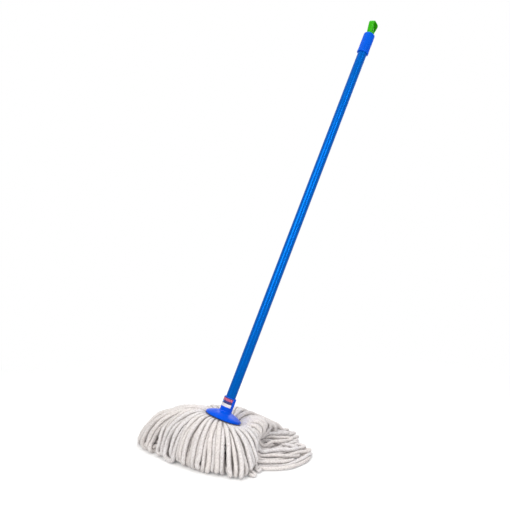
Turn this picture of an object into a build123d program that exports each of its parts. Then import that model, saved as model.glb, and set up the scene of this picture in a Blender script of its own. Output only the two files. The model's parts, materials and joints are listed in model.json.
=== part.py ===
from build123d import *
from math import atan2, cos, degrees, hypot, radians, sin, tan
import os

os.makedirs("parts", exist_ok=True)

# Driving dimensions, in millimetres and degrees. Heights are along the handle
# from the lower edge of the cap's rim, unless they are above the floor.
handle_tilt = 22.5
handle_azimuth = 19.7
cap_height = 96.0

tube_radius = 12.0
tube_wall = 0.6
tube_bottom = 42.0
tube_top = 1043.0

cap_radius = 44.5
cap_rim_height = 3.2
cap_wall = 2.2
shoulder_radius = 42.8
shoulder_height = 6.0
dome_top = 15.8
neck_radius = 15.25
neck_flare = 2.0
neck_top = 50.5
edge_break = 0.8
seat_radius = 12.35
seat_height = 40.0
thread_radius = 9.8
socket_bottom = 2.0
socket_outer_radius = 13.0
rib_count = 8
rib_thickness = 1.4
rib_bottom = 1.0

screw_count = 4
screw_circle_radius = 18.0
screw_radius = 1.95
screw_head_radius = 3.9
boss_radius = 4.2
boss_top = 14.2
pilot_radius = 2.0
pilot_top = 11.0
screw_tip = 8.0

core_height = 10.0
core_apothem = 25.0
plate_radius = 33.0
plate_thickness = 2.6
fin_height = 6.0
fin_length = 6.5
fin_thickness = 0.8
drain_radius = 5.0

insert_core_radius = 9.2
insert_bottom = 6.0
insert_bore_radius = 6.5
spigot_top = 68.0

grip_radius = 14.7
grip_bottom = 991.0
grip_top = 1047.0
grip_ring_radius = 15.3
grip_ring_height = 4.0
grip_shoulder = 3.0
stem_hole_radius = 5.08

hanger_turn = -55.0
hanger_height = 38.5
hanger_base_width = 16.5
hanger_corner_radius = 8.5
hanger_corner_offset = 4.0
hanger_wall = 3.5
hanger_hole_foot_radius = 3.6
hanger_base_depth = 17.5
hanger_top_depth = 12.8
hanger_rounding = 1.4
stem_radius = 5.0
snap_radius = 6.2

label_turn = -156.0
label_span = 155.0
label_bottom = 27.5
label_top = 49.5
label_thickness = 0.25
label_gap = 0.02

# One row for each bundle of yarn, round the cap from its downhill side: how far its
# draped part reaches from the cap's middle, and the heights of its top above the floor
# at the stations that tuft_stations names.
tuft_shapes = [
    (130, (86, 74, 50)),
    (223, (88, 49, 27)),
    (207, (94, 74, 37)),
    (203, (98, 82, 42)),
    (205, (101, 85, 47)),
    (221, (107, 85, 37)),
    (241, (113, 85, 40)),
    (206, (112, 88, 37)),
    (158, (109, 88, 44)),
    (132, (107, 89, 60)),
    (127, (103, 87, 53)),
    (145, (99, 82, 52)),
    (164, (95, 78, 48)),
    (158, (90, 72, 40)),
    (124, (85, 74, 50)),
    (130, (86, 74, 50)),
]
# The bundles whose lower strands lie on along the floor: how far and how high they end.
lying_ends = {0: (222, 14), 14: (205, 12), 15: (224, 14)}
lying_top = 26.0
tuft_stations = (0.3, 0.65, 0.88)
tuft_depths = (10, 22, 30, 30, 28, 28, 28)
tuft_edge = 5.0
inner_yarn_radius = 66.0
inner_yarn_taper = 19.0
inner_yarn_gap = 1.5
tuft_gap = 1.6

# The handle's own frame: down_dir runs downhill in the cap's plane, side_dir across it.
handle_dir = Vector(0, 0, 1).rotate(Axis.Y, handle_tilt).rotate(Axis.Z, handle_azimuth)
down_dir = Vector(1, 0, 0).rotate(Axis.Y, handle_tilt).rotate(Axis.Z, handle_azimuth)
side_dir = handle_dir.cross(down_dir)
cap_centre = Vector(0, 0, cap_height)
cap_plane = Plane(origin=cap_centre, x_dir=down_dir, z_dir=handle_dir)
handle_axis = Axis(cap_centre, handle_dir)


def outward(angle):
    return down_dir * cos(radians(angle)) + side_dir * sin(radians(angle))


def radial_plane(angle):
    return Plane(origin=cap_centre, x_dir=outward(angle), z_dir=outward(angle).cross(handle_dir))


profile_plane = radial_plane(0)


# Socket cap: a domed shell with a neck for the handle, ribs and screw bosses inside.
inner_radius = cap_radius - cap_wall
flare_radius = neck_radius + neck_flare
ceiling = [(inner_radius, cap_rim_height), (33.0, 8.4), (24.0, 11.6), (socket_outer_radius, 13.2)]

# The dome is part of a ball through the shoulder and the foot of the neck's flare.
dome_centre = (
    (flare_radius**2 + dome_top**2 - shoulder_radius**2 - shoulder_height**2)
    / (2 * (dome_top - shoulder_height))
)
dome_radius = hypot(flare_radius, dome_top - dome_centre)
dome_start = degrees(atan2(shoulder_height - dome_centre, shoulder_radius))
dome_end = degrees(atan2(dome_top - dome_centre, flare_radius))

with BuildPart() as socket_cap:
    with BuildSketch(profile_plane):
        with BuildLine():
            CenterArc((0, dome_centre), dome_radius, dome_start, dome_end - dome_start)
            Polyline(
                (flare_radius, dome_top),
                (neck_radius, dome_top + neck_flare),
                (neck_radius, neck_top - edge_break),
                (neck_radius - edge_break, neck_top),
                (seat_radius, neck_top),
                (seat_radius, seat_height),
                (thread_radius, seat_height),
                (thread_radius, socket_bottom),
                (socket_outer_radius, socket_bottom),
                *reversed(ceiling),
                (inner_radius, 0),
                (cap_radius - edge_break, 0),
                (cap_radius, edge_break),
                (cap_radius, cap_rim_height),
                (shoulder_radius, shoulder_height),
            )
        make_face()
    revolve(axis=handle_axis)
    with BuildSketch(cap_plane.offset(rib_bottom)):
        with PolarLocations(screw_circle_radius, screw_count):
            Circle(boss_radius)
    extrude(amount=boss_top - rib_bottom)
    for number in range(rib_count):
        with BuildSketch(radial_plane((number + 0.5) * 360 / rib_count)):
            Polygon(
                (socket_outer_radius - 1, rib_bottom),
                (inner_radius + 1, rib_bottom),
                *[(radius, height + 0.6) for radius, height in ceiling],
                (socket_outer_radius - 1, boss_top),
                align=None,
            )
        extrude(amount=rib_thickness / 2, both=True)
    with BuildSketch(cap_plane.offset(rib_bottom)):
        with PolarLocations(screw_circle_radius, screw_count):
            Circle(pilot_radius)
    extrude(amount=pilot_top - rib_bottom, mode=Mode.SUBTRACT)

# Yarn core: the stitched middle of the strands, with one flat side for each bundle.
tuft_count = len(tuft_shapes)
core_bottom = rib_bottom - core_height

with BuildPart() as yarn_core:
    with BuildSketch(cap_plane.offset(core_bottom)):
        RegularPolygon(core_apothem, tuft_count, major_radius=False, rotation=180 / tuft_count)
        with PolarLocations(screw_circle_radius, screw_count):
            Circle(pilot_radius + 0.3, mode=Mode.SUBTRACT)
    extrude(amount=core_height)

# Clamp plate: holds the yarn up against the cap, with a fin between each two bundles.
with BuildPart() as clamp_plate:
    with BuildSketch(cap_plane.offset(core_bottom)):
        Circle(plate_radius)
    extrude(amount=-plate_thickness)
    chamfer(clamp_plate.edges().sort_by(handle_axis)[0], edge_break)
    with BuildSketch(cap_plane.offset(core_bottom)):
        with PolarLocations(core_apothem + fin_length / 2 + 1, tuft_count, start_angle=180 / tuft_count):
            Rectangle(fin_length, fin_thickness)
    extrude(amount=fin_height)
    with BuildSketch(cap_plane.offset(core_bottom - plate_thickness)):
        Circle(drain_radius)
        with PolarLocations(screw_circle_radius, screw_count):
            Circle(pilot_radius + 0.3)
    extrude(amount=plate_thickness, mode=Mode.SUBTRACT)

# Clamp screws: pan heads under the plate, shanks up into the cap's bosses.
screw_head_height = 2.4
plate_bottom = core_bottom - plate_thickness

with BuildPart() as clamp_screws:
    with BuildSketch(cap_plane.offset(plate_bottom - screw_head_height)):
        with PolarLocations(screw_circle_radius, screw_count):
            Circle(screw_head_radius)
    extrude(amount=screw_head_height)
    chamfer(clamp_screws.edges().group_by(handle_axis)[0], edge_break)
    with BuildSketch(cap_plane.offset(plate_bottom)):
        with PolarLocations(screw_circle_radius, screw_count):
            Circle(screw_radius)
    extrude(amount=screw_tip - plate_bottom)

# Handle tube.
with BuildPart() as handle_tube:
    with BuildSketch(cap_plane.offset(tube_bottom)):
        Circle(tube_radius)
        Circle(tube_radius - tube_wall, mode=Mode.SUBTRACT)
    extrude(amount=tube_top - tube_bottom)

# Threaded insert: screws into the neck, its spigot held in the tube.
insert_tip_chamfer = 2.0
spigot_radius = tube_radius - tube_wall - 0.05

with BuildPart() as threaded_insert:
    with BuildSketch(profile_plane):
        Polygon(
            (insert_bore_radius, insert_bottom),
            (insert_core_radius - insert_tip_chamfer, insert_bottom),
            (insert_core_radius, insert_bottom + insert_tip_chamfer),
            (insert_core_radius, seat_height),
            (tube_radius, seat_height),
            (tube_radius, tube_bottom),
            (spigot_radius, tube_bottom),
            (spigot_radius, spigot_top - 1),
            (spigot_radius - 1, spigot_top),
            (insert_bore_radius, spigot_top),
            align=None,
        )
    revolve(axis=handle_axis)

# Grip sleeve: an end cap over the tube, with a hole in its top for the hanger's stem.
with BuildPart() as grip_sleeve:
    with BuildSketch(profile_plane):
        Polygon(
            (tube_radius + 0.05, grip_bottom),
            (grip_ring_radius - edge_break, grip_bottom),
            (grip_ring_radius, grip_bottom + edge_break),
            (grip_ring_radius, grip_bottom + grip_ring_height),
            (grip_radius, grip_bottom + grip_ring_height + edge_break),
            (grip_radius, grip_top - grip_shoulder),
            (grip_radius - 0.3 * grip_shoulder, grip_top - 0.3 * grip_shoulder),
            (grip_radius - grip_shoulder, grip_top),
            (stem_hole_radius, grip_top),
            (stem_hole_radius, tube_top),
            (tube_radius + 0.05, tube_top),
            align=None,
        )
    revolve(axis=handle_axis)

# Hanger: a tapered loop on a round base, with a snap stem that lets it swivel.
loop_dir = outward(hanger_turn)
base_height = grip_top + 0.1
loop_plane = Plane(
    origin=cap_centre + handle_dir * base_height,
    x_dir=handle_dir.cross(loop_dir),
    z_dir=loop_dir,
)
depth_plane = Plane(
    origin=cap_centre + handle_dir * base_height,
    x_dir=loop_dir,
    z_dir=loop_dir.cross(handle_dir),
)
head_height = hanger_height - hanger_corner_radius
head_width = 2 * (hanger_corner_offset + hanger_corner_radius)
hole_foot_height = 11.0
base_disc_radius = 9.5
base_disc_height = 2.5
snap_lip = tube_top - 0.1
snap_bottom = tube_top - 4.0

with BuildPart() as hanger:
    with BuildSketch(loop_plane):
        with Locations((-hanger_corner_offset, head_height), (hanger_corner_offset, head_height)):
            Circle(hanger_corner_radius)
        Circle(hanger_base_width / 2)
        make_hull()
        Rectangle(hanger_base_width, hanger_base_width, align=(Align.CENTER, Align.MAX), mode=Mode.SUBTRACT)
    extrude(amount=hanger_base_depth, both=True)
    with BuildSketch(depth_plane):
        Polygon(
            (-hanger_base_depth / 2, 0),
            (hanger_base_depth / 2, 0),
            (hanger_top_depth / 2, hanger_height),
            (-hanger_top_depth / 2, hanger_height),
            align=None,
        )
    extrude(amount=head_width, both=True, mode=Mode.INTERSECT)
    with BuildSketch(loop_plane):
        with Locations((-hanger_corner_offset, head_height), (hanger_corner_offset, head_height)):
            Circle(hanger_corner_radius - hanger_wall)
        with Locations((0, hole_foot_height)):
            Circle(hanger_hole_foot_radius)
        make_hull()
    extrude(amount=hanger_base_depth, both=True, mode=Mode.SUBTRACT)
    broad_faces = hanger.faces().filter_by(GeomType.PLANE).sort_by(Axis(loop_plane.origin, loop_dir))
    loop_edges = (broad_faces[0].edges() + broad_faces[-1].edges()).filter_by(
        lambda edge: (edge.center() - loop_plane.origin).dot(handle_dir) > 1
    )
    chamfer(loop_edges, hanger_rounding)
    with BuildSketch(Plane(loop_plane.origin, x_dir=loop_dir, z_dir=handle_dir)):
        Circle(base_disc_radius)
    extrude(amount=base_disc_height)
    with BuildSketch(depth_plane):
        Polygon(
            (0, base_disc_height),
            (stem_radius, base_disc_height),
            (stem_radius, snap_lip - base_height),
            (snap_radius, snap_lip - base_height),
            (snap_radius, snap_lip - base_height - 1),
            (stem_radius - 0.6, snap_bottom - base_height),
            (0, snap_bottom - base_height),
            align=None,
        )
    revolve(axis=handle_axis)

# Neck label: a thin sticker round the front of the neck.
with BuildPart() as neck_label:
    with BuildSketch(radial_plane(label_turn - label_span / 2)):
        with Locations((neck_radius + label_gap, label_bottom)):
            Rectangle(label_thickness, label_top - label_bottom, align=(Align.MIN, Align.MIN))
    revolve(axis=handle_axis, revolution_arc=label_span)


# Yarn bundles: each leaves the clamp in the cap's plane, drapes outward and stands on the floor.
fan_step = 360 / tuft_count
root_top = -0.6
drape_start = 45.5
drape_overlap = 8.0
toe_below_floor = 6.0
wedge_start = 30.0
wedge_reach = 300.0
up = Vector(0, 0, 1)


def flat(direction):
    return Vector(direction.X, direction.Y, 0)


def drape_outline(spoke, reach, tops, lying_end):
    """Side view of one bundle's draped part, as distance from the cap's middle and height."""
    leave = cap_centre + spoke * drape_start + handle_dir * root_top
    start = Vector(flat(leave).length, leave.Z)
    crest = [start]
    for station, top in zip(tuft_stations, tops):
        crest.append(Vector(start.X + (reach - start.X) * station, top))
    crest[0] -= (crest[1] - start).normalized() * drape_overlap
    if lying_end:
        crest += [Vector(reach, lying_top), Vector(*lying_end)]
        reach = lying_end[0]
    crest.append(Vector(reach, -toe_below_floor))
    belly = []
    for place, depth in zip(range(len(crest)), tuft_depths):
        run = crest[min(place + 1, len(crest) - 1)] - crest[max(place - 1, 0)]
        normal = Vector(run.Y, -run.X).normalized()
        belly.append(crest[place] + normal * depth)
    return [(point.X, point.Y) for point in crest + belly[::-1]]


def root_outline(angle):
    """Plan of one bundle's root, in the cap's plane."""
    half_angle = radians(fan_step / 2)
    corners = []
    for radius, side in ((core_apothem, -1), (drape_start, -1), (drape_start, 1), (core_apothem, 1)):
        across = side * (radius * tan(half_angle) - tuft_gap / 2)
        corner = Vector(radius, across).rotate(Axis.Z, angle)
        corners.append((corner.X, corner.Y))
    return corners


def wedge_side(number, side):
    """Outline of the ground beyond one side of a bundle's sector, as seen from above."""
    edge = flat(outward((number + side / 2) * fan_step)).normalized()
    across = up.cross(edge) * side
    near = edge * wedge_start - across * tuft_gap / 2
    far = edge * wedge_reach - across * tuft_gap / 2
    corners = (near, far, far + across * wedge_reach, near + across * wedge_reach)
    return [(corner.X, corner.Y) for corner in corners]


tufts = {}
for number, (reach, tops) in enumerate(tuft_shapes):
    spoke = outward(number * fan_step)
    flat_spoke = flat(spoke).normalized()
    across = up.cross(flat_spoke)
    with BuildPart() as yarn_tuft:
        with BuildSketch(Plane((0, 0, 0), x_dir=flat_spoke, z_dir=flat_spoke.cross(up))):
            Polygon(*drape_outline(spoke, reach, tops, lying_ends.get(number)), align=None)
        extrude(amount=wedge_reach / 3, both=True)
        split(bisect_by=Plane(cap_centre + spoke * drape_start, z_dir=spoke))
        split(bisect_by=Plane.XY)
        with BuildSketch():
            for side in (-1, 1):
                Polygon(*wedge_side(number, side), align=None)
        extrude(amount=2 * cap_height, mode=Mode.SUBTRACT)
        upper_faces = yarn_tuft.faces().filter_by(
            lambda face: face.normal_at().Z > 0.1 and face.normal_at().dot(spoke) > -0.9
        )
        long_edges = upper_faces.edges().filter_by(
            lambda edge: abs((edge @ 1 - edge @ 0).normalized().dot(across)) < 0.6
        )
        chamfer(long_edges, tuft_edge)
        with BuildSketch(cap_plane.offset(core_bottom)):
            Polygon(*root_outline(number * fan_step), align=None)
        extrude(amount=root_top - core_bottom)
    tufts[f"yarn_tuft_{number + 1:02d}"] = yarn_tuft

# Inner yarn: strands folded back under the plate, which the head stands on.
with BuildPart() as inner_yarn:
    with BuildSketch():
        RegularPolygon(inner_yarn_radius, tuft_count)
    extrude(amount=cap_height, taper=inner_yarn_taper)
    heads_plane = cap_plane.offset(plate_bottom - screw_head_height - inner_yarn_gap)
    split(bisect_by=heads_plane, keep=Keep.BOTTOM)

nodes = {
    "socket_cap": socket_cap,
    "neck_label": neck_label,
    "yarn_core": yarn_core,
    "clamp_plate": clamp_plate,
    "clamp_screws": clamp_screws,
    "handle_tube": handle_tube,
    "threaded_insert": threaded_insert,
    "grip_sleeve": grip_sleeve,
    "hanger": hanger,
    "inner_yarn": inner_yarn,
    **tufts,
}
for name, node in nodes.items():
    node.part.label = name
    export_step(node.part, f"parts/{name}.step")
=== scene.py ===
import json
from math import cos, hypot, pi, radians, sin, tau

import bmesh
import bpy
import numpy as np
from mathutils import Matrix, Vector


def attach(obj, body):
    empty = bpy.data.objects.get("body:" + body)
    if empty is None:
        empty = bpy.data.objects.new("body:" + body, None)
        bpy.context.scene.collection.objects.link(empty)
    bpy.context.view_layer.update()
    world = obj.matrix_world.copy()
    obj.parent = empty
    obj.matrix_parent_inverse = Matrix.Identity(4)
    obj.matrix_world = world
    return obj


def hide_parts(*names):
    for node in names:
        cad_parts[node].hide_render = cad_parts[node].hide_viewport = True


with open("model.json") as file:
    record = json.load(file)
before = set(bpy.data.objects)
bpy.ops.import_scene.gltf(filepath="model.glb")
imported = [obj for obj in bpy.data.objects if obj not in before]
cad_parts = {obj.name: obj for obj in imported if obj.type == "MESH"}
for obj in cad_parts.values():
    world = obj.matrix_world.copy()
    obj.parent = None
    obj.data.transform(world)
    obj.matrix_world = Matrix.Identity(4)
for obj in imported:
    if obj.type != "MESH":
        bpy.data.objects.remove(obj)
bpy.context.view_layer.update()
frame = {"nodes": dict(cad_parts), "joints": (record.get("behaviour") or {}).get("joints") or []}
nodes = frame["nodes"]
mm = 0.001
up = Vector((0, 0, 1))
scene = bpy.context.scene

# The handle's own directions, from the joint that the handle slides out along
handleJoint = [joint for joint in frame["joints"] if joint["name"] == "handle_unscrew"][0]
handleDir = Vector(handleJoint["axis"]).normalized()
leanDir = Vector((handleDir.x, handleDir.y, 0)).normalized()
sideDir = up.cross(leanDir)
downDir = sideDir.cross(handleDir)
cap = {
    "centre": Vector((0, 0, 96 * mm)),  # the middle of the rim
    "rimRadius": 47 * mm,
    "plateRadius": 33 * mm,
    "plateLevels": (-18 * mm, -9 * mm),  # with room for the screw heads
}


def outward(angle):
    # direction in the cap's plane, in degrees from its downhill side
    return downDir * cos(radians(angle)) + sideDir * sin(radians(angle))


def onHandle(height, radius=0, angle=0):
    # a point off the handle's axis, at a height along it from the cap's rim
    return cap["centre"] + handleDir * height + outward(angle) * radius


def link(obj):
    scene.collection.objects.link(obj)
    return obj


def meshPiece(name, points, faces, smooth=True):
    mesh = bpy.data.meshes.new(name)
    mesh.from_pydata([tuple(point) for point in points], [], [tuple(face) for face in faces])
    mesh.validate()
    if smooth:
        mesh.polygons.foreach_set("use_smooth", [True] * len(mesh.polygons))
    mesh.update()
    return link(bpy.data.objects.new(name, mesh))


def dress(name, material):
    # gives a solid its finish
    nodes[name].data.materials.clear()
    nodes[name].data.materials.append(material)


# Shader helpers
def newGroup(name, inputs, outputs):
    group = bpy.data.node_groups.new(name, "ShaderNodeTree")
    for label, kind, value in inputs:
        socket = group.interface.new_socket(label, in_out="INPUT", socket_type=kind)
        if value is not None:
            socket.default_value = value
    for label, kind in outputs:
        group.interface.new_socket(label, in_out="OUTPUT", socket_type=kind)
    start = group.nodes.new("NodeGroupInput")
    end = group.nodes.new("NodeGroupOutput")
    return group, start, end


def add(tree, kind, **settings):
    node = tree.nodes.new(kind)
    for key, value in settings.items():
        if key in node.inputs:
            node.inputs[key].default_value = value
        else:
            setattr(node, key, value)
    return node


def maths(tree, operation, first, second=None, clamp=False):
    node = tree.nodes.new("ShaderNodeMath")
    node.operation = operation
    node.use_clamp = clamp
    for place, value in enumerate((first, second)):
        if value is None:
            continue
        if isinstance(value, (int, float)):
            node.inputs[place].default_value = value
        else:
            tree.links.new(value, node.inputs[place])
    return node.outputs[0]


def mixColour(tree, factor, first, second, blend="MIX"):
    node = tree.nodes.new("ShaderNodeMix")
    node.data_type = "RGBA"
    node.blend_type = blend
    for socket, value in ((node.inputs[0], factor), (node.inputs[6], first), (node.inputs[7], second)):
        if isinstance(value, bpy.types.NodeSocket):
            tree.links.new(value, socket)
        elif isinstance(value, (int, float)):
            socket.default_value = value
        else:
            socket.default_value = (*value, 1)
    return node.outputs[2]


def spread(tree, value, low, high, newLow=0.0, newHigh=1.0):
    node = tree.nodes.new("ShaderNodeMapRange")
    for place, number in zip((1, 2, 3, 4), (low, high, newLow, newHigh)):
        node.inputs[place].default_value = number
    tree.links.new(value, node.inputs[0])
    return node.outputs[0]


def placeGroup(tree, group, **values):
    node = tree.nodes.new("ShaderNodeGroup")
    node.node_tree = group
    for key, value in values.items():
        if isinstance(value, bpy.types.NodeSocket):
            tree.links.new(value, node.inputs[key])
        else:
            node.inputs[key].default_value = value
    return node


def noise(tree, place, **settings):
    node = add(tree, "ShaderNodeTexNoise", **settings)
    tree.links.new(place, node.inputs["Vector"])
    return node


def emboss(tree, shader, height, strength, distance):
    # raises the fine relief of a finish
    bump = add(tree, "ShaderNodeBump", Strength=strength, Distance=distance)
    tree.links.new(height, bump.inputs["Height"])
    tree.links.new(bump.outputs["Normal"], shader.inputs["Normal"])


def startMaterial(name, **values):
    material = bpy.data.materials.new(name)
    material.use_nodes = True
    tree = material.node_tree
    shader = tree.nodes["Principled BSDF"]
    for key, value in values.items():
        socket = shader.inputs[key.replace("_", " ")]
        socket.default_value = (*value, 1) if isinstance(value, tuple) else value
    return material, tree, shader


# Effects shared by the materials

# Moulded or painted skin: soft mottling, fine grain and hair scratches along the handle
mouldedSkin, inside, outside = newGroup(
    "mouldedSkin",
    [
        ("Colour", "NodeSocketColor", (0.5, 0.5, 0.5, 1)),
        ("Mottle", "NodeSocketFloat", 0.08),
        ("Rough", "NodeSocketFloat", 0.3),
        ("Rough Range", "NodeSocketFloat", 0.1),
        ("Grain Size", "NodeSocketFloat", 900.0),
    ],
    [("Colour", "NodeSocketColor"), ("Roughness", "NodeSocketFloat"), ("Height", "NodeSocketFloat")],
)
tree = mouldedSkin
place = add(tree, "ShaderNodeTexCoord").outputs["Object"]
cloud = noise(tree, place, Scale=38.0, Detail=3.0, Roughness=0.55)
grain = noise(tree, place, Detail=2.0, Roughness=0.6)
tree.links.new(inside.outputs["Grain Size"], grain.inputs["Scale"])
drawn = add(tree, "ShaderNodeMapping")  # pulls the scratches out along the handle
drawn.inputs["Rotation"].default_value = up.rotation_difference(handleDir).inverted().to_euler()
drawn.inputs["Scale"].default_value = (900, 900, 26)
tree.links.new(place, drawn.inputs["Vector"])
scratch = noise(tree, drawn.outputs["Vector"], Scale=1.0, Detail=1.0)
hair = spread(tree, scratch.outputs["Fac"], 0.62, 0.7)
shade = spread(tree, cloud.outputs["Fac"], 0.3, 0.7, -1.0, 1.0)
lift = maths(tree, "MULTIPLY", shade, inside.outputs["Mottle"])
hsv = add(tree, "ShaderNodeHueSaturation")
tree.links.new(inside.outputs["Colour"], hsv.inputs["Color"])
tree.links.new(maths(tree, "ADD", lift, 1.0), hsv.inputs["Value"])
tree.links.new(hsv.outputs["Color"], outside.inputs["Colour"])
wander = maths(tree, "MULTIPLY", shade, inside.outputs["Rough Range"])
rough = maths(tree, "ADD", inside.outputs["Rough"], wander)
rough = maths(tree, "ADD", rough, maths(tree, "MULTIPLY", hair, 0.12))
tree.links.new(rough, outside.inputs["Roughness"])
height = maths(tree, "MULTIPLY", grain.outputs["Fac"], 0.5)
height = maths(tree, "SUBTRACT", height, maths(tree, "MULTIPLY", hair, 0.3))
tree.links.new(height, outside.inputs["Height"])

# Edge wear: a lighter line where the surface turns sharply, broken up by noise
edgeWear, inside, outside = newGroup(
    "edgeWear",
    [("Amount", "NodeSocketFloat", 0.5), ("Patch Size", "NodeSocketFloat", 160.0)],
    [("Mask", "NodeSocketFloat")],
)
tree = edgeWear
sharp = spread(tree, add(tree, "ShaderNodeNewGeometry").outputs["Pointiness"], 0.515, 0.57)
patch = noise(tree, add(tree, "ShaderNodeTexCoord").outputs["Object"], Detail=4.0)
tree.links.new(inside.outputs["Patch Size"], patch.inputs["Scale"])
broken = spread(tree, patch.outputs["Fac"], 0.42, 0.6)
mask = maths(tree, "MULTIPLY", maths(tree, "MULTIPLY", sharp, broken), inside.outputs["Amount"], clamp=True)
tree.links.new(mask, outside.inputs["Mask"])


def skinned(name, colour, worn, mottle, rough, roughRange, grainSize, bump, wear=0.3, **values):
    # a plastic, paint or metal finish with mottling, grain, scratches and worn edges
    material, tree, shader = startMaterial(name, **values)
    skin = placeGroup(tree, mouldedSkin, Colour=(*colour, 1), Mottle=mottle, Rough=rough)
    skin.inputs["Rough Range"].default_value = roughRange
    skin.inputs["Grain Size"].default_value = grainSize
    wearNode = placeGroup(tree, edgeWear, Amount=wear)
    tinted = mixColour(tree, wearNode.outputs["Mask"], skin.outputs["Colour"], worn)
    tree.links.new(tinted, shader.inputs["Base Color"])
    tree.links.new(skin.outputs["Roughness"], shader.inputs["Roughness"])
    emboss(tree, shader, skin.outputs["Height"], bump, 0.2 * mm)
    return material


# Plastics and metals
finishes = {
    "cap": skinned(
        "capPlastic", colour=(0.0, 0.084, 0.7), worn=(0.02, 0.16, 0.9), mottle=0.05,
        rough=0.17, roughRange=0.04, grainSize=700, bump=0.06, Specular_IOR_Level=0.07,
    ),
    "grip": skinned(
        "gripPlastic", colour=(0.0, 0.09, 0.62), worn=(0.02, 0.16, 0.8), mottle=0.06,
        rough=0.36, roughRange=0.06, grainSize=1400, bump=0.2, Specular_IOR_Level=0.06,
    ),
    "tube": skinned(
        "tubeCoat", colour=(0.0, 0.094, 0.42), worn=(0.01, 0.2, 0.7), mottle=0.02, wear=0.04,
        rough=0.27, roughRange=0.02, grainSize=1000, bump=0.04, Metallic=0.5, Specular_IOR_Level=0.03,
    ),
    "hanger": skinned(
        "hangerPlastic", colour=(0.03, 0.38, 0.0), worn=(0.12, 0.58, 0.04), mottle=0.06,
        rough=0.3, roughRange=0.05, grainSize=1200, bump=0.1, Specular_IOR_Level=0.12,
    ),
    "insert": skinned(
        "insertPlastic", colour=(0.02, 0.022, 0.026), worn=(0.08, 0.08, 0.09), mottle=0.15,
        rough=0.45, roughRange=0.08, grainSize=1300, bump=0.25,
    ),
    "screw": skinned(
        "screwZinc", colour=(0.55, 0.56, 0.58), worn=(0.75, 0.75, 0.76), mottle=0.1,
        rough=0.32, roughRange=0.1, grainSize=1500, bump=0.2, Metallic=1.0,
    ),
}
for node, finish in (
    ("socket_cap", "cap"),
    ("clamp_plate", "cap"),
    ("clamp_screws", "screw"),
    ("handle_tube", "tube"),
    ("threaded_insert", "insert"),
    ("grip_sleeve", "grip"),
    ("hanger", "hanger"),
):
    dress(node, finishes[finish])
print("plastics and metals done")

# Neck label: bands printed round the neck, told apart by height and turn
label = {
    "centreTurn": -156.0,
    "navy": (0.008, 0.012, 0.16, 1),
    "white": (0.78, 0.76, 0.76, 1),
    "whiteTop": 34.6 * mm,
    "ruleColour": (0.25, 0.25, 0.28),
    "ruleStrength": 0.55,
    "rulesPerMetre": 460,
    "ruleShare": (0.3, 0.62),
    "ruleTurns": (-0.9, 0.7),  # radians from the label's middle
    "barColour": (0.72, 0.1, 0.16),
    "barsPerRadian": 3.4,
    "barLean": 90,  # bars moved on per metre of height
    "barShare": (0.14, 0.84),
    "barLevels": (41.6 * mm, 47.2 * mm),
    "spotColour": (0.1, 0.32, 0.8),
    "spotTurns": (-0.75, -0.2),
    "spotLevels": (36.4 * mm, 40.2 * mm),
}
labelBands, inside, outside = newGroup(
    "labelBands",
    [("Navy", "NodeSocketColor", label["navy"]), ("White", "NodeSocketColor", label["white"])],
    [("Colour", "NodeSocketColor")],
)
tree = labelBands
coords = add(tree, "ShaderNodeTexCoord").outputs["Object"]
offset = add(tree, "ShaderNodeVectorMath", operation="SUBTRACT")
tree.links.new(coords, offset.inputs[0])
offset.inputs[1].default_value = cap["centre"]


def along(direction):
    dot = add(tree, "ShaderNodeVectorMath", operation="DOT_PRODUCT")
    tree.links.new(offset.outputs[0], dot.inputs[0])
    dot.inputs[1].default_value = direction
    return dot.outputs["Value"]


def within(value, limits):
    above = maths(tree, "GREATER_THAN", value, limits[0])
    return maths(tree, "MULTIPLY", above, maths(tree, "LESS_THAN", value, limits[1]))


level = along(handleDir)
middle = outward(label["centreTurn"])
turnAngle = maths(tree, "ARCTAN2", along(outward(label["centreTurn"] + 90)), along(middle))
cell = maths(tree, "MULTIPLY", maths(tree, "ADD", turnAngle, pi), label["barsPerRadian"])
lean = maths(tree, "MULTIPLY", level, label["barLean"])
slant = maths(tree, "FRACT", maths(tree, "ADD", maths(tree, "FRACT", cell), lean))
bars = maths(tree, "MULTIPLY", within(slant, label["barShare"]), within(level, label["barLevels"]))
spot = within(turnAngle, label["spotTurns"])
spot = maths(tree, "MULTIPLY", spot, within(level, label["spotLevels"]))
rule = maths(tree, "FRACT", maths(tree, "MULTIPLY", level, label["rulesPerMetre"]))
rule = within(rule, label["ruleShare"])
rule = maths(tree, "MULTIPLY", rule, within(turnAngle, label["ruleTurns"]))
rule = maths(tree, "MULTIPLY", rule, label["ruleStrength"])
colour = mixColour(tree, bars, inside.outputs["Navy"], label["barColour"])
colour = mixColour(tree, spot, colour, label["spotColour"])
lower = mixColour(tree, rule, inside.outputs["White"], label["ruleColour"])
colour = mixColour(tree, maths(tree, "LESS_THAN", level, label["whiteTop"]), colour, lower)
tree.links.new(colour, outside.inputs["Colour"])

labelFilm, tree, shader = startMaterial("labelFilm", Coat_Weight=0.35, Coat_Roughness=0.2)
printed = placeGroup(tree, labelBands)
skin = placeGroup(tree, mouldedSkin, Mottle=0.08, Rough=0.3, Colour=printed.outputs["Colour"])
tree.links.new(skin.outputs["Colour"], shader.inputs["Base Color"])
tree.links.new(skin.outputs["Roughness"], shader.inputs["Roughness"])
emboss(tree, shader, skin.outputs["Height"], 0.12, 0.1 * mm)
dress("neck_label", labelFilm)
print("neck label done")

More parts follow.
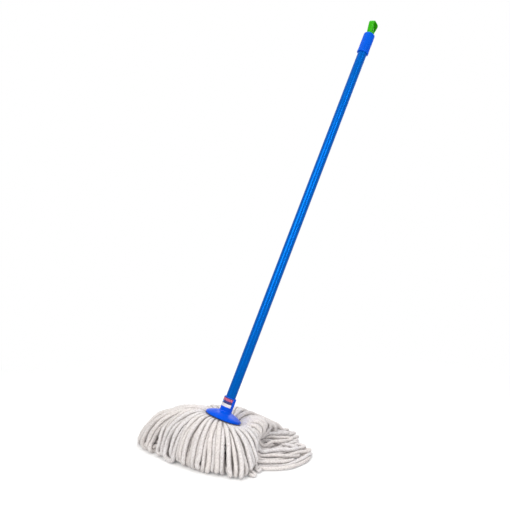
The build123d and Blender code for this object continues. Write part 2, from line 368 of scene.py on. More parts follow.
# Hanger: a loop with flat sides on a round base, its cheeks following the handle's round
hanger = {
    "base": 1047.1 * mm,
    "turn": -55,
    "footRadius": 8.5 * mm,
    "cornerRadius": 6.8 * mm,
    "cornerOffset": 6.7 * mm,
    "headHeight": 29.2 * mm,
    "holeRadius": 4.0 * mm,
    "holeFoot": 9.5 * mm,
    "halfDepth": (8.8 * mm, 7.4 * mm),  # at the base and at the top
    "cheekRadius": (8.9 * mm, 16.2 * mm),
    "thinnest": 2.2 * mm,
    "height": 36 * mm,
    "rounding": 1.7 * mm,
    "directions": 120,  # round the outline, as even angles of its normal
    "longestStep": 1.5 * mm,
    "section": (0, 0.04, 0.12, 0.25, 0.4, 0.55, 0.7, 0.82, 0.91, 0.96, 1),  # from the hole out
    "creaseAngle": 38,
    # the snap stem and the base disc: radius and height in millimetres
    "stem": (
        (3.4, -8.0), (4.4, -8.0), (6.1, -5.3), (6.1, -4.3), (5.0, -4.3), (5.0, -0.1), (5.0, 0.0),
        (8.9, 0.0), (9.2, 0.3), (9.2, 1.9), (9.05, 2.3), (8.7, 2.5), (5.0, 2.5), (3.0, 2.5),
    ),
}


def hullPoint(normal, circles):
    # the furthest point of a hull round some circles, each (across, height, radius)
    side, rise = cos(normal), sin(normal)
    across, level, radius = max(circles, key=lambda circle: circle[0] * side + circle[1] * rise + circle[2])
    return Vector((across + radius * side, max(level + radius * rise, 0)))


def hangerHalfDepth(spot, fromEdge):
    # half the loop's thickness at a point of its profile, rounded off near its edges
    share = spot.y / hanger["height"]
    flatLow, flatHigh = hanger["halfDepth"]
    flat = flatLow + (flatHigh - flatLow) * share
    cheekLow, cheekHigh = hanger["cheekRadius"]
    cheek = cheekLow + (cheekHigh - cheekLow) * share
    cheek = max(cheek**2 - spot.x**2, hanger["thinnest"] ** 2) ** 0.5
    depth = (flat**-10 + cheek**-10) ** -0.1
    inset = max(hanger["rounding"] - fromEdge, 0)
    return depth - hanger["rounding"] + (hanger["rounding"] ** 2 - inset**2) ** 0.5


def hangerLoop():
    # a section swept round the hole, from the hole's edge to the outline and back
    corner, offset, head = hanger["cornerRadius"], hanger["cornerOffset"], hanger["headHeight"]
    outerCircles = [(0, 0, hanger["footRadius"]), (-offset, head, corner), (offset, head, corner)]
    hole = hanger["holeRadius"]
    holeCircles = [(0, hanger["holeFoot"], hole), (-offset, head, hole), (offset, head, hole)]
    normals = [tau * number / hanger["directions"] for number in range(hanger["directions"])]
    pairs = [(hullPoint(normal, holeCircles), hullPoint(normal, outerCircles)) for normal in normals]
    stations = []
    for (inner, outer), (nextInner, nextOuter) in zip(pairs, pairs[1:] + pairs[:1]):
        parts = max(1, round((nextOuter - outer).length / hanger["longestStep"]))
        for part in range(parts):
            stations.append((inner.lerp(nextInner, part / parts), outer.lerp(nextOuter, part / parts)))
    shares = hanger["section"]
    section = [(share, 1) for share in shares] + [(share, -1) for share in reversed(shares)]
    through = outward(hanger["turn"])
    across = handleDir.cross(through)
    points = []
    for inner, outer in stations:
        width = (outer - inner).length
        for share, side in section:
            spot = inner.lerp(outer, share)
            depth = hangerHalfDepth(spot, min(share, 1 - share) * width) * side
            points.append(onHandle(hanger["base"] + spot.y) + across * spot.x + through * depth)
    size = len(section)
    faces = []
    for number in range(len(stations)):
        row = number * size
        nextRow = (number + 1) % len(stations) * size
        for place in range(size):
            nextPlace = (place + 1) % size
            faces.append((row + place, nextRow + place, nextRow + nextPlace, row + nextPlace))
    return points, faces


def lathe(profile, base, around=48):
    # turns a profile in millimetres round the handle's axis and closes both its ends
    points = []
    for radius, level in profile:
        points += [onHandle(base + level * mm, radius * mm, 360 * step / around) for step in range(around)]
    faces = []
    for row in range(len(profile) - 1):
        for step in range(around):
            follow = (step + 1) % around
            low, high = row * around, (row + 1) * around
            faces.append((low + step, low + follow, high + follow, high + step))
    faces.append(list(range(around))[::-1])
    faces.append([(len(profile) - 1) * around + step for step in range(around)])
    return points, faces


loopPoints, loopFaces = hangerLoop()
stemPoints, stemFaces = lathe(hanger["stem"], hanger["base"])
stemFaces = [[corner + len(loopPoints) for corner in face] for face in stemFaces]
hangerPiece = meshPiece("hanger_loop", loopPoints + stemPoints, loopFaces + stemFaces)
fixNormals = bmesh.new()
fixNormals.from_mesh(hangerPiece.data)
bmesh.ops.recalc_face_normals(fixNormals, faces=fixNormals.faces)
fixNormals.to_mesh(hangerPiece.data)
fixNormals.free()
hangerPiece.data.set_sharp_from_angle(angle=radians(hanger["creaseAngle"]))
hangerPiece.data.materials.append(finishes["hanger"])
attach(hangerPiece, "hanger")
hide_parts("hanger")
print("hanger done")

# Insert thread: a raised helix round the insert's core
thread = {
    "low": 9 * mm,
    "high": 37 * mm,
    "pitch": 3.6 * mm,
    "root": 9.05 * mm,
    "crest": 9.65 * mm,
    "rootHalf": 1.0 * mm,
    "crestHalf": 0.35 * mm,
    "steps": 40,  # to a turn
    "runOut": 12,  # steps over which the crest rises at each end
    "creaseAngle": 30,
}
turns = (thread["high"] - thread["low"]) / thread["pitch"]
count = int(turns * thread["steps"])
threadPoints = []
for number in range(count + 1):
    angle = number * 360 / thread["steps"]
    level = thread["low"] + number * thread["pitch"] / thread["steps"]
    rise = min(1, number / thread["runOut"], (count - number) / thread["runOut"])
    crest = thread["root"] + (thread["crest"] - thread["root"]) * rise
    for radius, shift in (
        (thread["root"], -thread["rootHalf"]),
        (crest, -thread["crestHalf"]),
        (crest, thread["crestHalf"]),
        (thread["root"], thread["rootHalf"]),
    ):
        threadPoints.append(onHandle(level + shift, radius, angle))
threadFaces = []
for row in range(0, count * 4, 4):
    for side in range(4):
        follow = (side + 1) % 4
        threadFaces.append((row + side, row + follow, row + 4 + follow, row + 4 + side))
threadFaces += [(0, 1, 2, 3), (count * 4 + 3, count * 4 + 2, count * 4 + 1, count * 4)]
threadPiece = meshPiece("insert_thread", threadPoints, threadFaces)
threadPiece.data.set_sharp_from_angle(angle=radians(thread["creaseAngle"]))
threadPiece.data.materials.append(finishes["insert"])
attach(threadPiece, "handle")
print("insert thread done")

# Yarn material: the strand's own coordinates run along its fibres
yarnFibre, inside, outside = newGroup(
    "yarnFibre",
    [
        ("Warm", "NodeSocketColor", (0.92, 0.87, 0.845, 1)),
        ("Cool", "NodeSocketColor", (0.91, 0.885, 0.895, 1)),
        # a dark brown for the random streaks and flecks, and for the painted shade in the ply grooves
        ("Dark Fibre And Painted Shade", "NodeSocketColor", (0.5, 0.45, 0.42, 1)),
        # a dark brown for the painted shade between touching strands
        ("Painted Shade", "NodeSocketColor", (0.27, 0.235, 0.22, 1)),
    ],
    [("Colour", "NodeSocketColor"), ("Height", "NodeSocketFloat")],
)
tree = yarnFibre
fibre = add(tree, "ShaderNodeAttribute", attribute_name="fibre").outputs["Vector"]
tone = add(tree, "ShaderNodeAttribute", attribute_name="tone").outputs["Fac"]
ply = add(tree, "ShaderNodeAttribute", attribute_name="ply").outputs["Fac"]
stretch = add(tree, "ShaderNodeMapping")
stretch.inputs["Scale"].default_value = (0.9, 4.5, 4.5)
tree.links.new(fibre, stretch.inputs["Vector"])
fine = noise(tree, stretch.outputs["Vector"], Scale=3.0, Detail=5.0, Roughness=0.65)
slub = noise(tree, fibre, Scale=0.55, Detail=2.0)
hue = maths(tree, "MULTIPLY", slub.outputs["Fac"], 0.7)
hue = maths(tree, "ADD", hue, maths(tree, "SUBTRACT", tone, 0.35), clamp=True)
colour = mixColour(tree, hue, inside.outputs["Warm"], inside.outputs["Cool"])
streak = spread(tree, fine.outputs["Fac"], 0.36, 0.6, 0.45, 0.0)
colour = mixColour(tree, streak, colour, inside.outputs["Dark Fibre And Painted Shade"])
# painted shade: the colour darkens in the grooves between the plies, where shade falls
paintedPlyShade = spread(tree, ply, 0.0, 0.5, 0.6, 0.0)
colour = mixColour(tree, paintedPlyShade, colour, inside.outputs["Dark Fibre And Painted Shade"])
paintedShade = add(tree, "ShaderNodeAttribute", attribute_name="paintedShade").outputs["Fac"]
# painted shade: where a strand's side lies against another strand, its colour darkens towards dark brown,
# standing in for the shadow between touching strands
colour = mixColour(tree, maths(tree, "MULTIPLY", paintedShade, 0.66), colour, inside.outputs["Painted Shade"])
fleck = noise(tree, add(tree, "ShaderNodeTexCoord").outputs["Object"], Scale=240.0, Detail=2.0)
specks = spread(tree, fleck.outputs["Fac"], 0.34, 0.54, 0.38, 0.0)
colour = mixColour(tree, specks, colour, inside.outputs["Dark Fibre And Painted Shade"])
tree.links.new(colour, outside.inputs["Colour"])
height = maths(tree, "ADD", fine.outputs["Fac"], maths(tree, "MULTIPLY", fleck.outputs["Fac"], 1.5))
tree.links.new(height, outside.inputs["Height"])

cottonYarn, tree, shader = startMaterial(
    "cottonYarn", Roughness=0.95, Sheen_Weight=0.25, Sheen_Roughness=0.5, Specular_IOR_Level=0.2
)
fibres = placeGroup(tree, yarnFibre)
tree.links.new(fibres.outputs["Colour"], shader.inputs["Base Color"])
emboss(tree, shader, fibres.outputs["Height"], 0.9, 0.9 * mm)

# Yarn: loops of twisted cotton clamped under the cap, draped out and folded under
yarn = {
    "bundles": 16,
    "thickness": 11.0 * mm,
    "rootThickness": 6.6 * mm,
    "legLength": 275 * mm,
    "legSpread": (0.94, 1.05),  # the shortest and longest legs against that
    "legShorter": (-5, 11),
    "wander": 1.6,  # degrees that a strand strays from its own turn
    "foldTurn": 0.5,  # radians that a folded end swings aside
    "foldLift": (0, 14),
    "foldPlaces": (22, 170),  # two points of the line that a folded end lies along, in mm
    "leastFold": 14 * mm,
    "shortFold": (8, 22),
    "rootLevel": -5 * mm,
    "rootRadii": (24, 36, 44, 52),  # where a strand is pressed, and where it comes out, in mm
    "loopsPerLayer": 15,
    # for each layer: how deep it leaves the clamp and how far it hangs under the top one, in
    # millimetres, and the share of a loop that it is turned on by
    "layers": ((-5.4, 0, 0), (-12.6, 5, 0.25), (-19, 11, 0.12), (-16, 7, 0.37)),
    "longReach": 185 * mm,  # the fourth layer is only where the strands reach so far
    "tucked": 8 * mm,
    "shortShare": 0.45,
    # more draped loops, where the long ones thin out: their turns, spread and depth
    "spareTurns": (64, 88, 112, 125, 137, 148, 160, 174, 154),
    "spareSpread": 3.5,
    "spareDepth": -9,
    "innerLoops": 3,
    "innerSpread": 7,
    "innerDrop": ((58, 48), (66, 26)),  # distances from the middle and heights, in mm
    "innerFoot": (76, 96),
    "lyingDepth": -22 * mm,
    "lyingThickness": 0.81,  # against the draped strands
    "lyingDrop": ((66, 46), (80, 28), (96, 13)),
    "lyingStations": (0.3, 0.52, 0.76),
    "lyingWander": 6,
    # how strongly settling keeps a loop to its guide
    "hold": 0.035,
    "tuckedHold": 0.08,
    "lyingHold": 0.07,
    # where the draped strands part: the turn, how far they stand aside and over how many degrees
    "partings": ((203, 3.0, 12), (168, 2.0, 10)),
    "stations": (0.3, 0.65, 0.88),
    # One row for each bundle, from the cap's downhill side: how far the draped strands reach
    # along the floor, the heights of their tops at the stations, and how far they tuck back in
    # under themselves, in millimetres
    "drape": [
        (128, (96, 98, 80), 50),
        (226, (92, 64, 46), 0),
        (200, (106, 88, 50), 0),
        (198, (107, 92, 52), 0),
        (198, (107, 92, 52), 0),
        (215, (108, 95, 56), 0),
        (272, (114, 96, 54), 0),
        (164, (114, 100, 64), 0),
        (131, (110, 94, 60), 0),
        (120, (106, 88, 56), 0),
        (118, (103, 84, 52), 0),
        (132, (100, 82, 50), 0),
        (160, (94, 76, 46), 0),
        (132, (90, 76, 50), 4),
        (95, (88, 84, 62), 20),
        (114, (92, 94, 76), 48),
    ],
    # Loops that lie out along the floor: the turns of their two legs round the cap, the place
    # of their far end as a turn and a reach, how far the second leg bows outwards, and how
    # high the loop lies on those under it, in millimetres
    "lying": [
        (333, 284, 342, 219, 40, 0),
        (338, 292, 347, 225, 32, 2),
        (326, 300, 337, 210, 20, 5),
        (344, 309, 351, 229, 18, 8),
        (331, 317, 340, 196, 12, 13),
        (350, 322, 354, 219, 8, 12),
        (356, 329, 359, 206, 6, 16),
        (341, 296, 330, 184, 14, 10),
        (2, 336, 3, 214, 2, 14),
        (9, 345, 8, 222, 0, 12),
        (5, 322, 346, 190, 6, 22),
        (15, 352, 13, 238, 0, 18),
        (12, 340, 2, 196, 4, 26),
        (20, 0, 18, 248, 0, 22),
        (24, 6, 15, 208, 0, 32),
        (27, 12, 23, 244, 0, 26),
        (33, 16, 27, 226, 0, 36),
        (38, 22, 32, 230, 0, 32),
        (46, 29, 39, 216, 0, 30),
        (57, 40, 49, 198, 0, 20),
        (66, 52, 57, 190, 0, 12),
        (121, 141, 133, 250, 6, 6),
        (129, 152, 139, 244, 8, 10),
        (113, 131, 126, 234, 0, 12),
        (272, 298, 282, 165, 6, 0),
        (288, 312, 293, 150, 8, 3),
    ],
}
chance = np.random.default_rng(7)


def drapeAt(angle):
    # reach and heights for any turn round the cap, blended between its two nearest rows
    place = (angle % 360) / 360 * yarn["bundles"]
    low = int(place) % yarn["bundles"]
    share = place - int(place)
    first, second = yarn["drape"][low], yarn["drape"][(low + 1) % yarn["bundles"]]
    reach = first[0] + (second[0] - first[0]) * share
    tops = [a + (b - a) * share for a, b in zip(first[1], second[1])]
    tuck = first[2] + (second[2] - first[2]) * share
    return reach * mm, [top * mm for top in tops], tuck * mm


def flatOutward(angle):
    # the same direction, level with the floor
    spoke = outward(angle)
    return Vector((spoke.x, spoke.y, 0)).normalized()


def splinePoints(controls, step):
    # even steps along a smooth curve through the controls
    controls = np.array(controls, float)
    padded = np.vstack([2 * controls[0] - controls[1], controls, 2 * controls[-1] - controls[-2]])
    share = np.linspace(0, 1, 12, endpoint=False)[:, None]
    parts = []
    for a, b, c, d in zip(padded, padded[1:], padded[2:], padded[3:]):
        bend = (2 * a - 5 * b + 4 * c - d) * share**2
        parts.append(0.5 * (2 * b + (c - a) * share + bend + (3 * b - a - 3 * c + d) * share**3))
    dense = np.vstack(parts + [controls[-1:]])
    walked = np.concatenate([[0], np.cumsum(np.linalg.norm(np.diff(dense, axis=0), axis=1))])
    marks = np.arange(0, walked[-1], step)
    return np.column_stack([np.interp(marks, walked, dense[:, axis]) for axis in range(3)])


def clampedRoot(angle, depth):
    # pressed between the cap and its plate, then out under the cap's edge
    inner = yarn["rootLevel"]
    levels = (inner, inner, inner * 0.6 + depth * 0.4, depth)
    return [onHandle(level, radius * mm, angle) for radius, level in zip(yarn["rootRadii"], levels)]


def drapedLeg(angle, depth, drop, shorter, short, closing):
    # one leg of a loop: out of the clamp, over, down to the floor and folded back under
    reach, tops, tuck = drapeAt(angle)
    half = yarn["thickness"] / 2
    controls = clampedRoot(angle, depth)
    leave = hypot(controls[-1].x, controls[-1].y)
    reach = reach - drop * 1.5 - shorter
    wander = yarn["wander"]
    for station, top in zip(yarn["stations"], tops):
        out = flatOutward(angle + closing * station + chance.uniform(-wander, wander))
        controls.append(out * (leave + (reach - leave) * station) + up * (top - half - drop))
    foot = flatOutward(angle + closing + chance.uniform(-wander, wander)) * (reach - tuck - half * 1.2)
    foot += up * (half * 1.5 + tuck * 0.7)
    swing = Matrix.Rotation(chance.uniform(-yarn["foldTurn"], yarn["foldTurn"]), 3, "Z")
    back = swing @ -Vector((foot.x, foot.y, 0)).normalized()
    lift = up * chance.uniform(*yarn["foldLift"]) * mm
    controls.append(foot)
    step = settling["step"]
    outLength = len(splinePoints(controls, step)) * step
    folded = yarn["legLength"] * chance.uniform(*yarn["legSpread"]) - outLength
    folded = chance.uniform(*yarn["shortFold"]) * mm if short else max(folded, yarn["leastFold"])
    near, far = yarn["foldPlaces"]
    controls += [foot + back * near * mm + lift, foot + back * far * mm + lift * 1.4]
    return splinePoints(controls, step)[: int((outLength + folded) / step)]


def lyingLeg(angle, depth, farEnd, bow, side, lift):
    # one leg that comes down early and runs along the floor to the loop's far end
    controls = clampedRoot(angle, depth)
    out = flatOutward(angle)
    half = yarn["thickness"] / 2
    for radius, height in yarn["lyingDrop"]:
        controls.append(out * radius * mm + up * (height * mm + lift * 0.6))
    landing = controls[-1]
    run = farEnd - landing
    across = up.cross(run).normalized() * side
    wander = yarn["lyingWander"]
    for share in yarn["lyingStations"]:
        sway = bow * sin(pi * share) + (8 * share + chance.uniform(-wander, wander)) * mm
        level = half + lift * (1.1 - 0.5 * share) + chance.uniform(0, 5) * mm
        controls.append(landing + run * share + across * sway + up * (level - landing.z - run.z * share))
    controls.append(farEnd + across * 6 * mm)
    return splinePoints(controls, settling["step"])


def innerLeg(angle, depth, side):
    # one leg of a loop that drops straight down inside and fills the middle of the heap
    controls = clampedRoot(angle, depth)
    half = yarn["thickness"] / 2
    for radius, height in yarn["innerDrop"]:
        controls.append(flatOutward(angle) * radius * mm + up * height * mm)
    foot = flatOutward(angle) * chance.uniform(*yarn["innerFoot"]) * mm + up * half * 1.2
    along = up.cross(foot).normalized() * side * 40 * mm
    inward = foot * -0.35
    end = foot + along * 2.2 + inward * 2 + up * chance.uniform(0, 12) * mm
    controls += [foot, foot + along + inward, end]
    return splinePoints(controls, settling["step"])


def parted(angle):
    # opens the partings: strands beside one stand away from it
    for turn, width, reachOut in yarn["partings"]:
        aside = (angle - turn + 180) % 360 - 180
        angle += width * np.sign(aside) * np.exp(-((aside / reachOut) ** 2))
    return angle


def drapedLoop(middle, turnAside, depth, drop, short, hold):
    # a loop as its turn, its path, how strongly it is held and its thickness
    shorter = chance.uniform(*yarn["legShorter"]) * mm
    legs = []
    for side in (-1, 1):
        angle = parted(middle + side * turnAside) + chance.uniform(-1, 1)
        legs.append(drapedLeg(angle, depth * mm, drop * mm, shorter, short, -side))
    return middle % 360, np.vstack([legs[0], legs[1][::-1]]), hold, 1.0


def makeLoops():
    # every loop of the head, from the top layer down, and then those that lie on the floor
    loops = []
    count = yarn["loopsPerLayer"]
    for layer, (depth, under, ahead) in enumerate(yarn["layers"]):
        for number in range(count):
            middle = (number + ahead) * 360 / count
            reach, _, tuck = drapeAt(middle)
            tucked = tuck > yarn["tucked"]
            if tucked and layer == 2:
                continue  # the lying loops leave the clamp here
            if layer == 3 and reach < yarn["longReach"]:
                continue
            short = chance.random() < yarn["shortShare"] or tucked
            drop = under + chance.uniform(0, 3)
            hold = yarn["tuckedHold"] if tucked else yarn["hold"]
            loops.append(drapedLoop(middle, 90 / count, depth, drop, short, hold))
    for middle in yarn["spareTurns"]:
        drop = chance.uniform(1, 5)
        loops.append(drapedLoop(middle, yarn["spareSpread"], yarn["spareDepth"], drop, False, yarn["hold"]))
    thin = yarn["lyingThickness"]
    for number in range(yarn["innerLoops"]):
        middle = (number + chance.uniform(0.2, 0.8)) * 360 / yarn["innerLoops"]
        legs = [innerLeg(middle + side * yarn["innerSpread"], yarn["lyingDepth"], side) for side in (-1, 1)]
        loops.append((middle % 360, np.vstack([legs[0], legs[1][::-1]]), yarn["hold"], thin))
    for first, second, turn, reach, bow, lift in yarn["lying"]:
        lift = (lift + chance.uniform(-2, 4)) * mm
        farEnd = flatOutward(turn) * (reach * mm - yarn["thickness"])
        farEnd += up * (yarn["thickness"] / 2 + max(lift, 0) * 0.6)
        one = lyingLeg(first, yarn["lyingDepth"], farEnd, 0, 1, lift)
        other = lyingLeg(second, yarn["lyingDepth"], farEnd, bow * mm, -1, lift)
        middle = (second + ((first - second + 180) % 360 - 180) / 2) % 360
        loops.append((middle, np.vstack([one, other[::-1]]), yarn["lyingHold"], thin))
    return loops


# Settling: the loops push each other apart and sink on to the floor
settling = {
    "step": 6.0 * mm,  # between the points of a path
    "rounds": 140,
    "quickRounds": 24,
    "weight": 0.25 * mm,  # how far a round lets the yarn sink
    "packing": 0.95,  # how near two strands come, against their thickness
    "push": 0.32,
    "pairsEvery": 6,  # rounds between two searches for touching points
    "pairMargin": 3 * mm,
    "pinned": 4,  # points at each root that stay in the clamp
    # how stiffly the first points from the roots follow the guide
    "rootPull": ([4, 14, 34], [0.12, 0.05, 0.0]),
    # points apart, and how many steps these may be from each other: the last row keeps the
    # length, the others keep a strand from folding sharply
    "lengths": ((3, 2.6, 3.0), (2, 1.84, 2.0), (1, 1.0, 1.0)),
    "smoothings": 3,
}


def nearPairs(points, chain, place, reachOut):
    # pairs of points of the yarn that are close, apart from neighbours on one strand
    pairs = []
    square = (points**2).sum(1)
    for start in range(0, len(points), 800):
        block = slice(start, start + 800)
        gap = square[block, None] + square[None] - 2 * points[block] @ points.T
        first, second = np.nonzero(gap < reachOut**2)
        first = first + start
        apart = (chain[first] != chain[second]) | (np.abs(place[first] - place[second]) > 4)
        keep = (second > first) & apart
        pairs.append(np.column_stack([first[keep], second[keep]]))
    return np.vstack(pairs)


def settle(loops, rounds):
    # lets the loops find room among each other, under a little weight, at their own length
    paths = [loop[1] for loop in loops]
    points = np.vstack(paths)
    chain = np.concatenate([[number] * len(path) for number, path in enumerate(paths)])
    place = np.concatenate([np.arange(len(path)) for path in paths])
    size = np.array([len(path) for path in paths])[chain]
    hold = np.array([loop[2] for loop in loops])[chain]
    scale = np.array([loop[3] for loop in loops])[chain]
    fromEnd = np.minimum(place, size - 1 - place)
    half = yarn["thickness"] / 2
    girth = np.interp(fromEnd, [3, 7], [yarn["rootThickness"] / 2, half]) * settling["packing"] * scale
    pinned = fromEnd < settling["pinned"]
    guide = points.copy()
    pull = np.maximum(np.interp(fromEnd, *settling["rootPull"]), hold)[:, None]
    step = settling["step"]
    axis = np.array(handleDir)
    centre = np.array(cap["centre"])
    plateLow, plateHigh = cap["plateLevels"]
    for number in range(rounds):
        points[:, 2] -= settling["weight"]
        points += (guide - points) * pull
        if number % settling["pairsEvery"] == 0:
            pairs = nearPairs(points, chain, place, 2 * half + settling["pairMargin"])
            pairs = pairs[~(pinned[pairs[:, 0]] & pinned[pairs[:, 1]])]
        gap = points[pairs[:, 1]] - points[pairs[:, 0]]
        far = np.linalg.norm(gap, axis=1)
        want = girth[pairs[:, 0]] + girth[pairs[:, 1]]
        push = np.clip(want - far, 0, None) * settling["push"]
        move = gap / np.maximum(far, 1e-6)[:, None] * push[:, None]
        np.add.at(points, pairs[:, 0], -move)
        np.add.at(points, pairs[:, 1], move)
        for hop, low, high in settling["lengths"]:
            for parity in range(2 * hop):
                first = np.nonzero((place % (2 * hop) == parity) & (place + hop < size))[0]
                second = first + hop
                gap = points[second] - points[first]
                far = np.linalg.norm(gap, axis=1)
                want = np.clip(far, low * step, high * step)
                move = gap / np.maximum(far, 1e-6)[:, None] * ((far - want) / 2)[:, None]
                points[first] += move
                points[second] -= move
        offset = points - centre
        level = offset @ axis
        radial = offset - level[:, None] * axis
        radius = np.linalg.norm(radial, axis=1)
        under = (radius < cap["rimRadius"]) & (level > -girth)
        points[under] -= (level + girth)[under, None] * axis
        beside = (radius < cap["plateRadius"] + half) & ~pinned & (fromEnd > 8)
        plate = beside & (level > plateLow) & (level < plateHigh + half)
        points[plate] -= (level - plateLow)[plate, None] * axis
        points[:, 2] = np.maximum(points[:, 2], girth)
        points[pinned] = guide[pinned]
    settled = []
    for number in range(len(loops)):
        path = points[chain == number]
        for turn in range(settling["smoothings"]):
            path[1:-1] = path[1:-1] * 0.5 + (path[:-2] + path[2:]) * 0.25
        path[:, 2] = np.maximum(path[:, 2], half * 0.96)
        settled.append(path)
    return settled


# Strands: the twisted, lobed surface of each loop
strand = {
    "plies": 4,
    "twistLength": 30 * mm,
    "around": 20,
    "ring": 2.6 * mm,
    "girthSpread": (0.9, 1.1),
    "plyDepth": 0.24,
    "slubs": ((47 * mm, 0.035), (19 * mm, 0.03), (9 * mm, 0.03)),  # lengths and sizes
    "roughness": 0.045,
    "rootEnds": [18 * mm, 40 * mm],  # it thickens between these, from each root
    "flat": 0.1 * mm,  # where it rests on the floor
    "fibreLength": 5 * mm,
    # a side is in full shade and in none, by its distance from the next strand's heart
    # against the strand's thickness
    "shade": [0.46, 0.72],
    "neighbours": 12,
}


def strandMesh(path, seed, scale):
    # a soft twisted strand along a path: lobes for the plies, slubs, thinner at its roots
    dice = np.random.default_rng(seed)
    around, ring, plyDepth = strand["around"], strand["ring"], strand["plyDepth"]
    full = yarn["thickness"] / 2 * scale * dice.uniform(*strand["girthSpread"])
    spine = splinePoints(path, ring)
    count = len(spine)
    tangent = np.gradient(spine, axis=0)
    tangent /= np.linalg.norm(tangent, axis=1)[:, None]
    side = np.cross(tangent[0], (0.3, 0.2, 1.0))
    frames = []
    for direction in tangent:
        side = side - direction * (side @ direction)
        side /= np.linalg.norm(side)
        frames.append(side)
    side = np.array(frames)
    other = np.cross(tangent, side)
    walked = np.arange(count) * ring
    fromEnd = np.minimum(walked, walked[-1] - walked)
    half = np.interp(fromEnd, strand["rootEnds"], [yarn["rootThickness"] / 2, full])
    waves = sum(
        amount * np.sin(walked * tau / length + dice.uniform(0, tau)) for length, amount in strand["slubs"]
    )
    half = half * (1 + waves)
    angle = np.linspace(0, tau, around, endpoint=False)
    twist = walked[:, None] * tau / strand["twistLength"]
    turned = angle[None] + dice.uniform(0, tau) - twist
    lobe = np.abs(np.cos(turned * strand["plies"] / 2)) ** 0.8
    rough = 1 + strand["roughness"] * dice.standard_normal((count, around))
    radius = half[:, None] * (1 - plyDepth + plyDepth * lobe) * rough
    points = (
        spine[:, None]
        + side[:, None] * (np.cos(angle) * radius)[..., None]
        + other[:, None] * (np.sin(angle) * radius)[..., None]
    )
    points[..., 2] = np.maximum(points[..., 2], strand["flat"])
    lengthwise = np.broadcast_to(walked[:, None] / strand["fibreLength"], turned.shape)
    fibre = np.stack([lengthwise, np.cos(turned), np.sin(turned)], 2) + dice.uniform(0, 40)
    rows = np.arange(count - 1)[:, None] * around
    cols = np.arange(around)
    nextCols = (cols + 1) % around
    faces = np.stack([rows + cols, rows + nextCols, rows + around + nextCols, rows + around + cols], 2)
    return spine, points, faces.reshape(-1, 4), fibre.reshape(-1, 3), lobe.reshape(-1), dice.uniform(0, 1)


def paintedShadeBetweenStrands(strands, scales):
    # for every point of the yarn, how much painted shade it gets from how near it is to the heart
    # of another strand: 1 where two strands are pressed together, 0 on a side that nothing touches
    hearts = np.vstack([one[0] for one in strands])
    skin = np.vstack([one[1] for one in strands])
    chain = np.concatenate([[number] * len(one[0]) for number, one in enumerate(strands)])
    girth = yarn["thickness"] * np.array(scales)[chain]
    square = (hearts**2).sum(1)
    nearest = strand["neighbours"]
    paintedShade = []
    for start in range(0, len(hearts), 400):
        block = slice(start, start + 400)
        gap = square[block, None] + square[None] - 2 * hearts[block] @ hearts.T
        gap[chain[block, None] == chain[None]] = 1.0
        close = hearts[np.argpartition(gap, nearest, axis=1)[:, :nearest]]
        far = np.linalg.norm(skin[block][:, :, None] - close[:, None], axis=3).min(2)
        paintedShade.append(np.interp(far / girth[block, None], strand["shade"], [1.0, 0.0]))
    paintedShade = np.vstack(paintedShade)
    ends = np.cumsum([len(one[0]) for one in strands])[:-1]
    return [part.reshape(-1) for part in np.split(paintedShade, ends)]


def yarnPiece(name, strands):
    # one bundle of strands, with what the yarn material reads from their points
    points, faces, fibres, lobes, tones, paintedShades = [], [], [], [], [], []
    start = 0
    for (_, strandPoints, strandFaces, fibre, lobe, tone), paintedShade in strands:
        strandPoints = strandPoints.reshape(-1, 3)
        points.append(strandPoints)
        faces.append(strandFaces + start)
        fibres.append(fibre)
        lobes.append(lobe)
        tones.append(np.full(len(strandPoints), tone))
        paintedShades.append(paintedShade)
        start += len(strandPoints)
    mesh = bpy.data.meshes.new(name)
    mesh.from_pydata(np.vstack(points).tolist(), [], np.vstack(faces).tolist())
    mesh.polygons.foreach_set("use_smooth", [True] * len(mesh.polygons))
    for label, kind, values in (
        ("fibre", "FLOAT_VECTOR", np.vstack(fibres)),
        ("ply", "FLOAT", np.concatenate(lobes)),
        ("tone", "FLOAT", np.concatenate(tones)),
        # the painted shade between touching strands
        ("paintedShade", "FLOAT", np.concatenate(paintedShades)),
    ):
        layer = mesh.attributes.new(label, kind, "POINT")
        field = "vector" if kind == "FLOAT_VECTOR" else "value"
        layer.data.foreach_set(field, values.astype(np.float32).ravel())
    mesh.materials.append(cottonYarn)
    return link(bpy.data.objects.new(name, mesh))


loops = makeLoops()
paths = settle(loops, settling["rounds"])
print("yarn settled:", len(paths), "loops")
strands = [strandMesh(path, 100 + place, loop[3]) for place, (loop, path) in enumerate(zip(loops, paths))]
# how much painted shade each point of the yarn gets where strands touch
paintedShade = paintedShadeBetweenStrands(strands, [loop[3] for loop in loops])
count = yarn["bundles"]
for number in range(count):
    members = [place for place, loop in enumerate(loops) if round(loop[0] / 360 * count) % count == number]
    held = [(strands[place], paintedShade[place]) for place in members]
    bundle = yarnPiece(f"yarn_bundle_{number + 1:02d}", held)
    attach(bundle, "head")
    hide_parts(f"yarn_tuft_{number + 1:02d}")
    if number == 0:
        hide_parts("inner_yarn", "yarn_core")
print("yarn done")

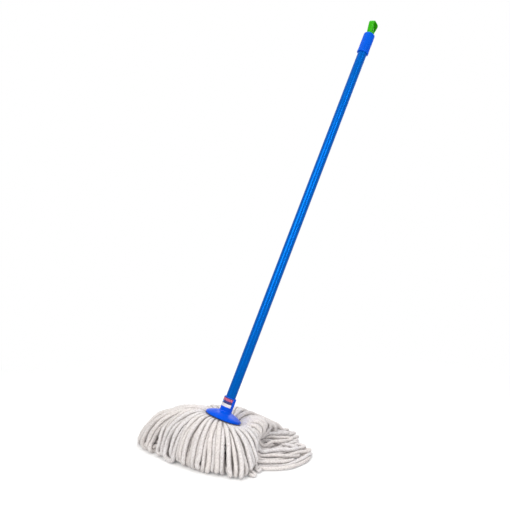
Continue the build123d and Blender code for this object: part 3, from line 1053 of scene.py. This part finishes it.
# Floor, light and camera
studio = {
    "floorSize": 14.0,
    "paleFrom": 0.5,  # metres from the mop where the floor starts to fade to white
    "paleTo": 1.5,
    "floorGlow": 0.2,
    "skyLight": 0.36,
    "cameraPlace": Vector((0.0765, -1.4, 0.4852)),
    "lens": 41.3,
    # name, place, what it points at, size in metres, watts and colour
    "lamps": (
        ("keyLight", (-1.3, -2.1, 2.1), (0.0, 0.0, 0.3), (1.5, 1.5), 44, (1.0, 0.98, 0.95)),
        ("stripLight", (1.35, -1.75, 1.0), (0.15, 0.0, 0.5), (0.22, 1.7), 17, (0.97, 0.98, 1.0)),
        ("topLight", (0.1, 0.4, 3.2), (0.1, 0.1, 0.2), (2.4, 2.4), 50, (1.0, 1.0, 1.0)),
        ("backLight", (0.9, 2.4, 1.6), (0.1, 0.0, 0.4), (1.6, 1.2), 14, (1.0, 1.0, 1.0)),
    ),
}
half = studio["floorSize"] / 2
corners = [(-half, -half, 0), (half, -half, 0), (half, half, 0), (-half, half, 0)]
floor = meshPiece("floor", corners, [(0, 1, 2, 3)], smooth=False)
paleFloor, tree, shader = startMaterial(
    "paleFloor", Roughness=0.9, Base_Color=(0.82, 0.82, 0.82), Specular_IOR_Level=0.1
)
white = add(tree, "ShaderNodeEmission", Strength=1.0)
white.inputs["Color"].default_value = (1, 1, 1, 1)
rays = add(tree, "ShaderNodeLightPath")
glow = add(tree, "ShaderNodeEmission")
glowing = maths(tree, "MULTIPLY", rays.outputs["Is Camera Ray"], studio["floorGlow"])
tree.links.new(glowing, glow.inputs["Strength"])
lit = add(tree, "ShaderNodeAddShader")
tree.links.new(shader.outputs[0], lit.inputs[0])
tree.links.new(glow.outputs[0], lit.inputs[1])
spot = add(tree, "ShaderNodeNewGeometry").outputs["Position"]
distance = add(tree, "ShaderNodeVectorMath", operation="LENGTH")
tree.links.new(spot, distance.inputs[0])
far = spread(tree, distance.outputs["Value"], studio["paleFrom"], studio["paleTo"])
blendFloor = add(tree, "ShaderNodeMixShader")
tree.links.new(far, blendFloor.inputs[0])
tree.links.new(lit.outputs[0], blendFloor.inputs[1])
tree.links.new(white.outputs[0], blendFloor.inputs[2])
tree.links.new(blendFloor.outputs[0], tree.nodes["Material Output"].inputs["Surface"])
floor.data.materials.append(paleFloor)

world = bpy.data.worlds.new("studioSky")
scene.world = world
world.use_nodes = True
tree = world.node_tree
sky = tree.nodes["Background"]
sky.inputs["Color"].default_value = (1, 1, 1, 1)
rays = add(tree, "ShaderNodeLightPath")
seen = maths(tree, "MAXIMUM", rays.outputs["Is Camera Ray"], rays.outputs["Is Transmission Ray"])
seen = maths(tree, "MAXIMUM", seen, rays.outputs["Is Glossy Ray"])
tree.links.new(spread(tree, seen, 0, 1, studio["skyLight"], 1.0), sky.inputs["Strength"])

for name, place, aim, size, power, colour in studio["lamps"]:
    lamp = bpy.data.lights.new(name, "AREA")
    lamp.shape = "RECTANGLE"
    lamp.size, lamp.size_y = size
    lamp.energy = power
    lamp.color = colour
    holder = link(bpy.data.objects.new(name, lamp))
    holder.location = place
    holder.rotation_euler = (Vector(aim) - Vector(place)).to_track_quat("-Z", "Y").to_euler()

camera = link(bpy.data.objects.new("camera", bpy.data.cameras.new("camera")))
camera.location = studio["cameraPlace"]
camera.rotation_euler = (pi / 2, 0, 0)
camera.data.lens = studio["lens"]
camera.data.sensor_width = 36
scene.camera = camera
scene.view_settings.view_transform = "Standard"
print("floor, light and camera done")
